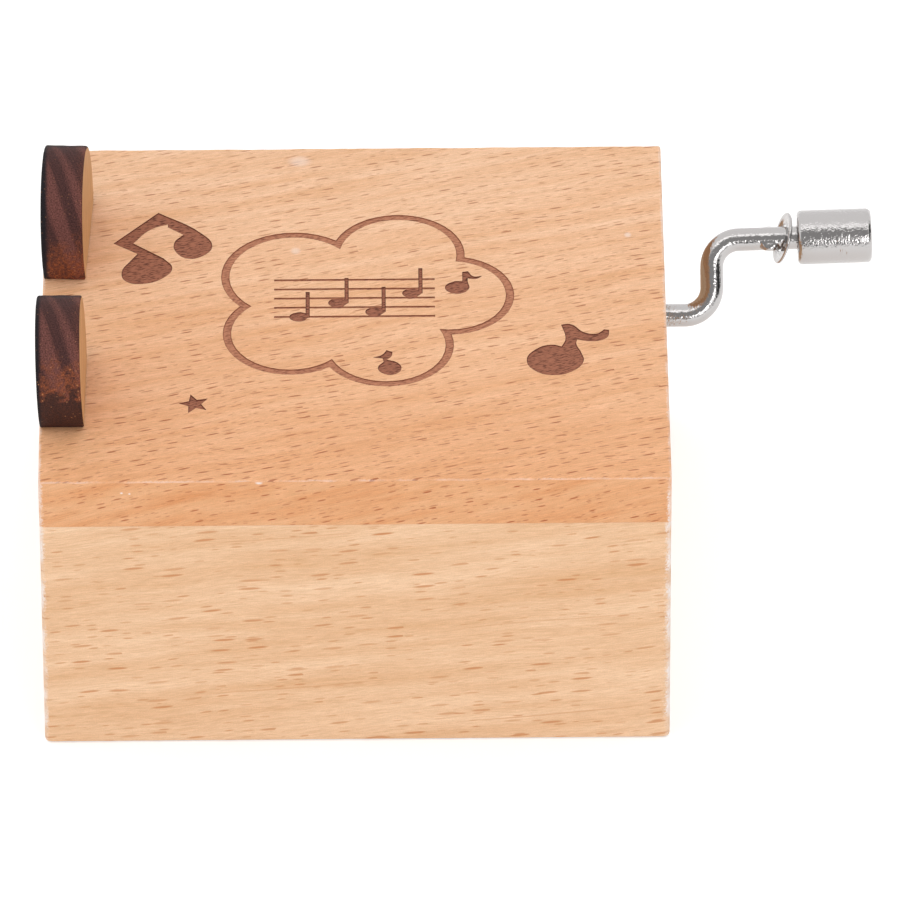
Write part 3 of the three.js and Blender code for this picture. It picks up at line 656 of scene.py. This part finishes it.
disc_radii = (6.9 * mm, 7.4 * mm)
disc_centre_heights = (3.95 * mm, 3 * mm)
disc_thicknesses = (4.5 * mm, 4.3 * mm)
disc_insets = (0.12 * mm, 0.43 * mm)
disc_place_shares = (0.2606, 0.7232)
disc_yaws = (math.radians(0.9), math.radians(2.9))
disc_lean = math.radians(2)
disc_easing = 0.18 * mm
disc_rim_steps = 72
disc_slices = 10
disc_plain_share = 0.9
rim_uneven = 0.05 * mm
rim_lumps = 6
rim_wander = math.radians(14)
rim_red_angles = ((66, 81), (88, 118))
red_start = (-0.35, 0.2)
char_start = (-0.12, 0.12)
black_top = (math.radians(-18), math.radians(-30))
black_edge = (0.32 * mm, -0.14 * mm)
red_half_share = 0.3
band_slant = math.radians(-17)
band_lump = (2, 60)
score_lump = (0.16, 9)
wander_lump = (1.6, 1.2)
patch_lump = (0.35, 0.5)
grit_lump = (0.15, 0.15)
spark_room = 0.55 * mm
rim_brown = "#683f39"
rim_dark = "#412725"
rim_char = "#33211e"
rim_black = "#1c171b"
rim_red = "#894a2d"
rim_spark = "#c98a5c"
face_colours = ("#dcab74", "#c08b56", "#8f5c34")
face_bands = (9, 1.2)
face_turn = (math.radians(90), math.radians(-60), math.radians(90))
face_rays = (((2.4, 0.9), (0.8, 0.12), 0.5, 0.7),)
face_beech = planed_beech("disc_face_beech", face_colours, face_turn, face_rays, face_bands)


def burnt_rim(name, centre, radius, half, red_from, red_to):
    """Laser burnt hardwood rim: dull dark brown in slanting bands, gritty, with grains that stand out.

    The char is thin and reddish between two angles, measured forwards from the top, and thick below
    them and along the left arris.
    """
    material, tree, shader = surface(name, Roughness=0.75, Specular_IOR_Level=0.2)
    place = add(tree, "TexCoord").outputs["Object"]
    away = add(tree, "VectorMath", (place, centre), operation="SUBTRACT")
    parts = add(tree, "SeparateXYZ", (away,))
    across = parts.outputs[0]
    forwards = add(tree, "Math", (parts.outputs[1], -1), operation="MULTIPLY")
    angle = add(tree, "Math", (forwards, parts.outputs[2]), operation="ARCTAN2")
    arc = add(tree, "Math", (angle, radius), operation="MULTIPLY")
    flat = add(tree, "CombineXYZ", (across, arc))

    def spread(lump, *levels, slant=0, detail=3):
        """Noise across and round the rim, brought from two levels to two values."""
        found = grain(tree, flat, lump, (0, 0, slant), detail, roughness=0.65, noise_dimensions="2D")
        return add(tree, "MapRange", (found, *levels))

    bands = spread(band_lump, 0.44, 0.56, 0.1, 0.9, slant=band_slant, detail=0)
    scores = spread(score_lump, 0.6, 0.72, 0, 0.35, slant=band_slant, detail=1)
    bands = add(tree, "Math", (bands, scores), use_clamp=True)
    colour = add(tree, "Mix", {0: bands, 6: linear(rim_dark), 7: linear(rim_brown)}, data_type="RGBA")
    wander = spread(wander_lump, 0.3, 0.7, -rim_wander, rim_wander, detail=4)
    level = add(tree, "Math", (angle, wander))
    at_front, at_right, thick, edge_black, top_black = (
        add(tree, "MapRange", rise, interpolation_type="SMOOTHSTEP") for rise in (
            (level, red_from + red_start[0], red_from + red_start[1]),
            (across, half * red_half_share, half, 0, 0.3),
            (level, red_to + char_start[0], red_to + char_start[1], 0, 0.85),
            (across, black_edge[0] - half, black_edge[1] - half),
            (angle, *black_top, 0, 0.7),
        ))
    patchy = spread(patch_lump, 0.35, 0.65, 0.15, 0.95, detail=4)
    reddened = add(tree, "Math", (at_front, at_right), use_clamp=True)
    reddened = add(tree, "Math", (reddened, patchy), operation="MULTIPLY", use_clamp=True)
    chars = ((reddened, rim_red), (thick, rim_char), (edge_black, rim_black), (top_black, rim_black))
    for mask, paint in chars:
        colour = add(tree, "Mix", {0: mask, 6: colour, 7: linear(paint)}, data_type="RGBA")
    grit = spread(grit_lump, 0.3, 0.7, 0.45, 1.6)
    colour = add(tree, "VectorMath", (colour, grit), operation="MULTIPLY")
    sparks = add(tree, "TexVoronoi", {"Vector": place, "Scale": 1 / spark_room}).outputs["Distance"]
    spark = add(tree, "MapRange", (sparks, 0.18, 0.1), interpolation_type="SMOOTHSTEP")
    bared = add(tree, "MapRange", (reddened, 0, 1, 0.15, 0.7))
    spark = add(tree, "Math", (spark, bared), operation="MULTIPLY", use_clamp=True)
    colour = add(tree, "Mix", {0: spark, 6: colour, 7: linear(rim_spark)}, data_type="RGBA")
    bump = add(tree, "Bump", {"Height": grit, "Strength": 0.4, "Distance": 0.04 * mm})
    feed(shader, {"Base Color": colour, "Normal": bump})
    return material


for number, name in enumerate(("front", "back")):
    node = "upright_disc_" + name
    radius = disc_radii[number]
    height = disc_centre_heights[number]
    thickness = disc_thicknesses[number]
    x = top_low.x + disc_insets[number] + thickness / 2
    y = top_low.y + (top_high.y - top_low.y) * disc_place_shares[number]
    low_turn = -math.asin(height / radius)
    eased = [(offset - thickness / 2, inset) for offset, inset in eased_end(disc_easing)]
    plain_half = thickness * disc_plain_share / 2
    plain = [(plain_half * (2 * step / disc_slices - 1), 0) for step in range(disc_slices + 1)]
    disc = bmesh.new()
    rings = []
    for across, inset in eased + plain + [(-across, inset) for across, inset in eased[::-1]]:
        ring = []
        for step in range(disc_rim_steps + 1):
            turn = low_turn + (math.pi - 2 * low_turn) * step / disc_rim_steps
            drift = rim_uneven * noise.noise(Vector((across / mm, turn * rim_lumps, number)))
            reach = radius - inset - rim_uneven + drift
            up = max(0, height + reach * math.sin(turn))
            ring.append(disc.verts.new((across, reach * math.cos(turn), up)))
        rings.append(ring)
    skinned(disc, rings)
    for face in disc.faces:
        face.material_index = 0 if abs(face.normal.x) > flat_enough else 1
    leaning = Matrix.Shear("XY", 4, (-math.tan(disc_lean), 0))
    spot = Matrix.Translation((x, y, top_high.z)) @ leaning @ Matrix.Rotation(-disc_yaws[number], 4, "Z")
    bmesh.ops.transform(disc, matrix=spot, verts=disc.verts)
    red_from, red_to = (math.radians(angle) for angle in rim_red_angles[number])
    rim = burnt_rim(f"burnt_hardwood_rim_{name}", (x, y, top_high.z + height), radius, thickness / 2,
                    red_from, red_to)
    stands_for(placed(node + "_wood", disc, [face_beech, rim]), node, "case")

# Movement
# A comb movement of zinc castings, a ground steel comb and a brass cylinder, hung under the lid.
# It shows only where the crank's hole lets the eye in, but each part has its own finish.

casting_colours = ("#9a9a9c", "#b9b9b8")
casting_lump = (0.667, 0.667)
casting_relief = (0.4, 0.04)
steel_colours = ("#a9acb0", "#cfd1d4")
steel_lines = (4, 0.05)
brass_colours = ("#cda557", "#e5c374")
brass_lines = (3, 0.06, 3)
line_relief = (0.3, 0.01)
acetal_colours = ("#ecebe4", "#f7f6f1")
acetal_lump = (1.43, 1.43)

# A casting's skin is grainy and half dull. Ground steel and turned brass are brighter, and the tool's
# fine lines draw their lights out. Moulded acetal is a smooth white with a faint haze.
zinc = two_tone("cast_zinc", casting_colours, casting_lump, 4, casting_relief, Metallic=1, Roughness=0.5)
steel = two_tone("ground_spring_steel", steel_colours, steel_lines, 3, line_relief, Metallic=1,
                 Roughness=0.28)
brass = two_tone("turned_brass", brass_colours, brass_lines, 3, line_relief, Metallic=1, Roughness=0.25)
acetal = two_tone("moulded_acetal", acetal_colours, acetal_lump, Roughness=0.35, IOR=1.48)
finish_nodes(zinc, "bedplate", "arbor_bracket")
finish_nodes(steel, "comb", "arbor", "shaft_clip")
finish_nodes(brass, "pinned_cylinder", "cylinder_cap_front", "cylinder_cap_back", "worm_wheel")
finish_nodes(acetal, "worm")

# Crank wire
# One steel wire, bent twice and plated with bright nickel, which turns in the movement.
# Two ears are crimped out of it behind the knob, and its end is riveted over inside the knob.

wire_radius = 1.2 * mm
wire_start_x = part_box("crank_wire")[0].x
crank_lean = math.radians(38)
crank_throw = 7.8 * mm
crank_bend_radius = 2.85 * mm
arm_x = 37.1 * mm
handle_rise = math.radians(1.5)
wire_run = 11.45 * mm
head_radius = 1.65 * mm
head_length = 0.8 * mm
ear_place = 3.2 * mm
ear_length = 1.6 * mm
ear_proud = 0.5 * mm
ear_spread = math.radians(32)
ear_turn = math.radians(135)
wire_facets = 64
bend_steps = 24
shaft_step = 1 * mm
arm_step = 0.5 * mm
run_step = 0.15 * mm
nickel_ground = "#bbb8b7"
wire_marks = ((0.3, 0.3), 0.6, (0.9, 0.09), 0.3)
worn_score = (0.3, 1.4)
worn_plain_share = 0.6


def plated_nickel(name, marks, worn=()):
    """Bright nickel plate: a mirror, broken by dents from tumbling and by fine scratches.

    Marks are the dents' size in mm and strength, then the scratches'. Dents are drawn coarser than they
    are, so that they show. A worn stretch, as (from, to) in x, is scored round the piece.
    """
    dent_lump, dent, scratch_lump, scratch = marks
    material, tree, shader = surface(name, Base_Color=linear(nickel_ground), Metallic=1)
    place = add(tree, "TexCoord").outputs["Object"]
    dents = grain(tree, place, dent_lump, roughness=0.6)
    lines = grain(tree, place, scratch_lump, detail=3)
    dented = add(tree, "Bump", {"Height": dents, "Strength": dent, "Distance": 0.06 * mm})
    finish = add(tree, "Bump", {"Height": lines, "Strength": scratch, "Distance": 0.02 * mm,
                                "Normal": dented})
    if worn:
        parts = add(tree, "SeparateXYZ", (place,))
        middle, reach = (worn[0] + worn[1]) / 2, (worn[1] - worn[0]) / 2
        off = add(tree, "Math", (parts.outputs[0], middle), operation="SUBTRACT")
        off = add(tree, "Math", (off,), operation="ABSOLUTE")
        near = add(tree, "MapRange", (off, reach, reach * worn_plain_share))
        scores = grain(tree, place, worn_score)
        finish = add(tree, "Bump", {"Height": scores, "Strength": near, "Distance": 0.1 * mm,
                                    "Normal": finish})
    wear = add(tree, "MapRange", (lines, 0.35, 0.75, 0.06, 0.18))
    feed(shader, {"Roughness": wear, "Normal": finish})
    return material


crank_up = Vector((0, math.sin(crank_lean), math.cos(crank_lean)))
crank_side = Vector((1, 0, 0)).cross(crank_up)
shaft = Vector(frame["joints"][0]["pos_m"])
shaft.x = 0


def in_crank(x, up):
    """A point of the crank's own plane, as x along the shaft and up along the arm."""
    return shaft + Vector((x, 0, 0)) + crank_up * up


def runs(start, end, step):
    """Evenly spaced places from start towards end, without the end."""
    count = max(1, round(abs(end - start) / step))
    return [start + (end - start) * number / count for number in range(count)]


# The wire's centre line, as x, up and heading: shaft, lower bend, arm, upper bend and handle.
bend_step = math.pi / 2 / bend_steps
handle_start = (arm_x + crank_bend_radius * (1 - math.sin(handle_rise)), crank_throw)
upper_bend_up = crank_throw - crank_bend_radius * math.cos(handle_rise)
centres = [(x, 0, 0) for x in runs(wire_start_x, arm_x - crank_bend_radius, shaft_step)]
for turn in runs(0, math.pi / 2, bend_step):
    centres.append((arm_x - crank_bend_radius * (1 - math.sin(turn)),
                    crank_bend_radius * (1 - math.cos(turn)), turn))
for up in runs(crank_bend_radius, upper_bend_up, arm_step):
    centres.append((arm_x, up, math.pi / 2))
for turn in runs(0, math.pi / 2 - handle_rise, bend_step):
    centres.append((arm_x + crank_bend_radius * (1 - math.cos(turn)),
                    upper_bend_up + crank_bend_radius * math.sin(turn), math.pi / 2 - turn))
handle_first = len(centres)
handle_places = runs(0, wire_run, run_step) + [wire_run]
for place in handle_places:
    centres.append((handle_start[0] + place * math.cos(handle_rise),
                    handle_start[1] + place * math.sin(handle_rise), handle_rise))

wire = bmesh.new()
rings = []
for number, (x, up, heading) in enumerate(centres):
    along = handle_places[number - handle_first] if number >= handle_first else 0
    out = Vector((-math.sin(heading), 0, 0)) + crank_up * math.cos(heading)
    ring = []
    for side in range(wire_facets):
        turn = 2 * math.pi * side / wire_facets
        radius = head_radius if along > wire_run - head_length else wire_radius
        near = abs(along - ear_place) / (ear_length / 2)
        off = abs((turn - ear_turn + math.pi / 2) % math.pi - math.pi / 2) / ear_spread
        if near < 1 and off < 1:
            radius += ear_proud * math.sqrt(1 - near ** 2) * (1 + math.cos(math.pi * off)) / 2
        ring.append(wire.verts.new(in_crank(x, up) + out * radius * math.cos(turn)
                                   + crank_side * radius * math.sin(turn)))
    rings.append(ring)
skinned(wire, rings)
wire_nickel = plated_nickel("nickel_plated_drawn_wire", wire_marks)
crank_wire = placed("crank_wire_nickel", wire, [wire_nickel], smooth=True)
stands_for(crank_wire, "crank_wire", "crank")

# Knob
# A turned steel barrel, bright nickel plated and finely dented from tumbling.
# It spins on the wire, held by the riveted end in its cavity.

knob_radius = 2.83 * mm
knob_length = 7.7 * mm
knob_edge = 0.5 * mm
knob_bore_length = 4.2 * mm
knob_bore_radius = 1.35 * mm
knob_cavity_radius = 2.1 * mm
knob_end_wall = 1.3 * mm
knob_ring_shares = (0.2, 0.4, 0.6, 0.8)
knob_worn_shares = (0.49, 0.73)
knob_marks = ((0.28, 0.28), 0.9, (0.9, 0.12), 0.25)
handle_run = 6.1 * mm
lathe_facets = 96
edge_steps = 5
handle_axis = (Vector((math.cos(handle_rise), 0, 0)) + crank_up * math.sin(handle_rise)).normalized()
handle_away = -crank_side
handle_spot = in_crank(*handle_start)
handle_frame = Matrix((handle_axis, handle_away, handle_axis.cross(handle_away))).transposed().to_4x4()
handle_frame.translation = handle_spot


def lathed(name, profile, place, finish):
    """Turns a closed profile of (along, radius) about the handle's axis."""
    turns = [2 * math.pi * side / lathe_facets for side in range(lathe_facets)]
    mesh = bmesh.new()
    rings = [[mesh.verts.new((along, radius * math.cos(turn), radius * math.sin(turn))) for turn in turns]
             for along, radius in profile]
    skinned(mesh, rings, round_again=True)
    bmesh.ops.remove_doubles(mesh, verts=mesh.verts, dist=tiny)
    bmesh.ops.recalc_face_normals(mesh, faces=mesh.faces)
    bmesh.ops.transform(mesh, matrix=handle_frame @ place, verts=mesh.verts)
    return placed(name, mesh, [finish], smooth=True)


def rounded(along, radius, easing, start):
    """A quarter round of the profile from the start angle, clockwise, about (along, radius)."""
    turns = [start - math.pi / 2 * step / edge_steps for step in range(edge_steps + 1)]
    return [(along + easing * math.cos(turn), radius + easing * math.sin(turn)) for turn in turns]


knob_end = handle_run + knob_length
cavity_end = knob_end - knob_end_wall
bore_end = handle_run + knob_bore_length
profile = [(handle_run, knob_bore_radius)]
profile += rounded(handle_run + knob_edge, knob_radius - knob_edge, knob_edge, math.pi)
profile += [(handle_run + knob_length * share, knob_radius) for share in knob_ring_shares]
profile += rounded(knob_end - knob_edge, knob_radius - knob_edge, knob_edge, math.pi / 2)
profile += [(knob_end, tiny), (cavity_end, tiny), (cavity_end, knob_cavity_radius),
            (bore_end, knob_cavity_radius), (bore_end, knob_bore_radius)]
knob_worn = [handle_spot.x + handle_run + share * knob_length for share in knob_worn_shares]
knob_nickel = plated_nickel("nickel_plated_turned_knob", knob_marks, knob_worn)
knob = lathed("knob_nickel", profile, Matrix.Identity(4), knob_nickel)
stands_for(knob, "knob", "knob")

# Washer
# A thin punched washer that sits loose and tilted on the wire, between the ears and the knob.
# The same nickel plate, with the punch's rounded rim.

washer_radius = 2.7 * mm
washer_hole_radius = 1.5 * mm
washer_thickness = 0.3 * mm
washer_place = 4.6 * mm
washer_tilt = math.radians(13.4)
washer_twist = math.radians(14.5)
washer_easing_share = 0.45
washer_easing = washer_thickness * washer_easing_share
half = washer_thickness / 2
profile = [(-half, washer_hole_radius)]
profile += rounded(-half + washer_easing, washer_radius - washer_easing, washer_easing, math.pi)
profile += rounded(half - washer_easing, washer_radius - washer_easing, washer_easing, math.pi / 2)
profile += [(half, washer_hole_radius)]
lean = Matrix.Rotation(washer_tilt, 4, "Y") @ Matrix.Rotation(washer_twist, 4, "Z")
washer = lathed("knob_washer_nickel", profile, Matrix.Translation((washer_place, 0, 0)) @ lean, wire_nickel)
stands_for(washer, "knob_washer", "washer")

# Studio
# A wide white floor, a soft white tent of light that is dim in front and dark at the right, a strip
# lamp and a fill lamp. They light the object so that a colour renders about as it is written.

floor_size = 3
floor_drop = 0.02 * mm
floor_colour = "#e7e7e7"
lit_white = "#ffffff"
floor_glow = 0.42
tent_light = 1.11

# The floor lies a hair under the object's flat underside, so that the two share no plane. Its matt
# paint takes the object's shadow, and its own glow brings it to white for the eye and in reflections.
floor = bmesh.new()
bmesh.ops.create_grid(floor, x_segments=12, y_segments=12, size=floor_size,
                      matrix=Matrix.Translation((0, 0, -floor_drop)))
floor_paint, tree, shader = surface("white_studio_floor", Base_Color=linear(floor_colour), Roughness=0.9,
                                    Specular_IOR_Level=0, Emission_Color=linear(lit_white))
rays = add(tree, "LightPath").outputs
seen = add(tree, "Math", (rays["Is Camera Ray"], rays["Is Glossy Ray"]), operation="MAXIMUM")
seen = add(tree, "Math", (seen, rays["Is Transmission Ray"]), operation="MAXIMUM")
feed(shader, {"Emission Strength": add(tree, "Math", (seen, floor_glow), operation="MULTIPLY")})
placed("studio_floor", floor, [floor_paint])

world = bpy.data.worlds.new("soft_tent")
bpy.context.scene.world = world
world.use_nodes = True
tree = world.node_tree
direction = add(tree, "TexCoord").outputs["Generated"]
parts = add(tree, "SeparateXYZ", (direction,))


def tent_side(turn):
    """The direction so many radians to the right of the camera's, square to the crank's arm."""
    return (math.sin(turn), -math.cos(turn) * math.cos(crank_lean), math.cos(turn) * math.sin(crank_lean))


# Two round openings are dimmer than the tent. The horizon straight in front is dark, where the table
# ends, and a bright bar runs across the ceiling. In each row a light changes from one level to another.
from_front, from_right = (add(tree, "VectorMath", (direction, tent_side(math.radians(turn))),
                              operation="DOT_PRODUCT") for turn in (0, 80))
front_blend = [math.cos(math.radians(turn)) for turn in (48, 32)]
right_blend = [math.cos(math.radians(turn)) for turn in (40, 28)]
table_blend = [math.sin(math.radians(turn)) for turn in (5, 9)]
front_opening, right_opening, elsewhere, table_end, bar_start, bar_end, ceiling = (
    add(tree, "MapRange", rise, interpolation_type="SMOOTHSTEP") for rise in (
        (from_front, *front_blend, 1, 0.36),
        (from_right, *right_blend, 1, 0.05),
        (parts.outputs[1], -0.97, -0.9),
        (parts.outputs[2], *table_blend, 0.1, 1),
        (parts.outputs[1], -0.34, -0.28),
        (parts.outputs[1], -0.12, -0.06, 1.2, 0),
        (parts.outputs[2], 0.75, 0.9),
    ))
table_end = add(tree, "Math", (table_end, elsewhere), operation="MAXIMUM")
ceiling_bar = add(tree, "Math", (bar_start, bar_end), operation="MULTIPLY")
ceiling_bar = add(tree, "Math", (ceiling_bar, ceiling), operation="MULTIPLY")
light = add(tree, "Math", (front_opening, right_opening), operation="MULTIPLY")
light = add(tree, "Math", (light, table_end), operation="MULTIPLY")
light = add(tree, "Math", (light, ceiling_bar))
light = add(tree, "Math", (light, tent_light), operation="MULTIPLY")
feed(tree.nodes["Background"], {"Strength": light, "Color": linear(lit_white)})


def soft_lamp(name, size, energy, turns, distance, roll=0):
    """A rectangular lamp facing the object, turned right of the front, then up from the level."""
    lamp = bpy.data.lights.new(name, "AREA")
    lamp.shape = "RECTANGLE"
    lamp.size, lamp.size_y = size
    lamp.energy = energy
    piece = bpy.data.objects.new(name, lamp)
    bpy.context.scene.collection.objects.link(piece)
    to_right, upwards = (math.radians(turn) for turn in turns)
    aimed = Matrix.Rotation(to_right, 4, "Z") @ Matrix.Rotation(math.pi / 2 - upwards, 4, "X")
    rolled = Matrix.Rotation(math.radians(roll), 4, "Z")
    piece.matrix_world = aimed @ Matrix.Translation((0, 0, distance)) @ rolled
    return piece


# The strip lamp, right of the camera and below it, draws the bright line on the crank's bends.
# The fill lamp lifts the front wall to the lid's level, and stays out of the metal's reflections.
soft_lamp("strip_lamp", (0.3, 0.8), 3.4, (26, 22), 1.3, -61)
soft_lamp("front_fill_lamp", (1.6, 0.8), 6.8, (0, 6), 1.6).visible_glossy = False

# Camera
# It looks down at 38 degrees from the front. The lens is long and far off, so the box's level edges
# stay almost parallel.

camera_elevation = 0.66323
camera_yaw = -0.00581
camera_roll = -0.00447
camera_across = 9.717 * mm
camera_height = 12.553 * mm
camera_distance = 1446.13 * mm
camera_lens = 555.88
camera_sensor = 36
farthest_seen = 20
back = Vector((math.sin(camera_yaw) * math.cos(camera_elevation),
               -math.cos(camera_yaw) * math.cos(camera_elevation), math.sin(camera_elevation)))
level = Vector((math.cos(camera_yaw), math.sin(camera_yaw), 0))
upward = back.cross(level)
right = level * math.cos(camera_roll) + upward * math.sin(camera_roll)
top = upward * math.cos(camera_roll) - level * math.sin(camera_roll)
lens = bpy.data.cameras.new("camera")
lens.lens = camera_lens
lens.sensor_width = camera_sensor
lens.clip_end = farthest_seen
camera = bpy.data.objects.new("camera", lens)
bpy.context.scene.collection.objects.link(camera)
camera.matrix_world = Matrix((right, top, back)).transposed().to_4x4()
camera.matrix_world.translation = right * camera_across + top * camera_height + back * camera_distance
bpy.context.scene.camera = camera
bpy.context.scene.view_settings.view_transform = "Standard"
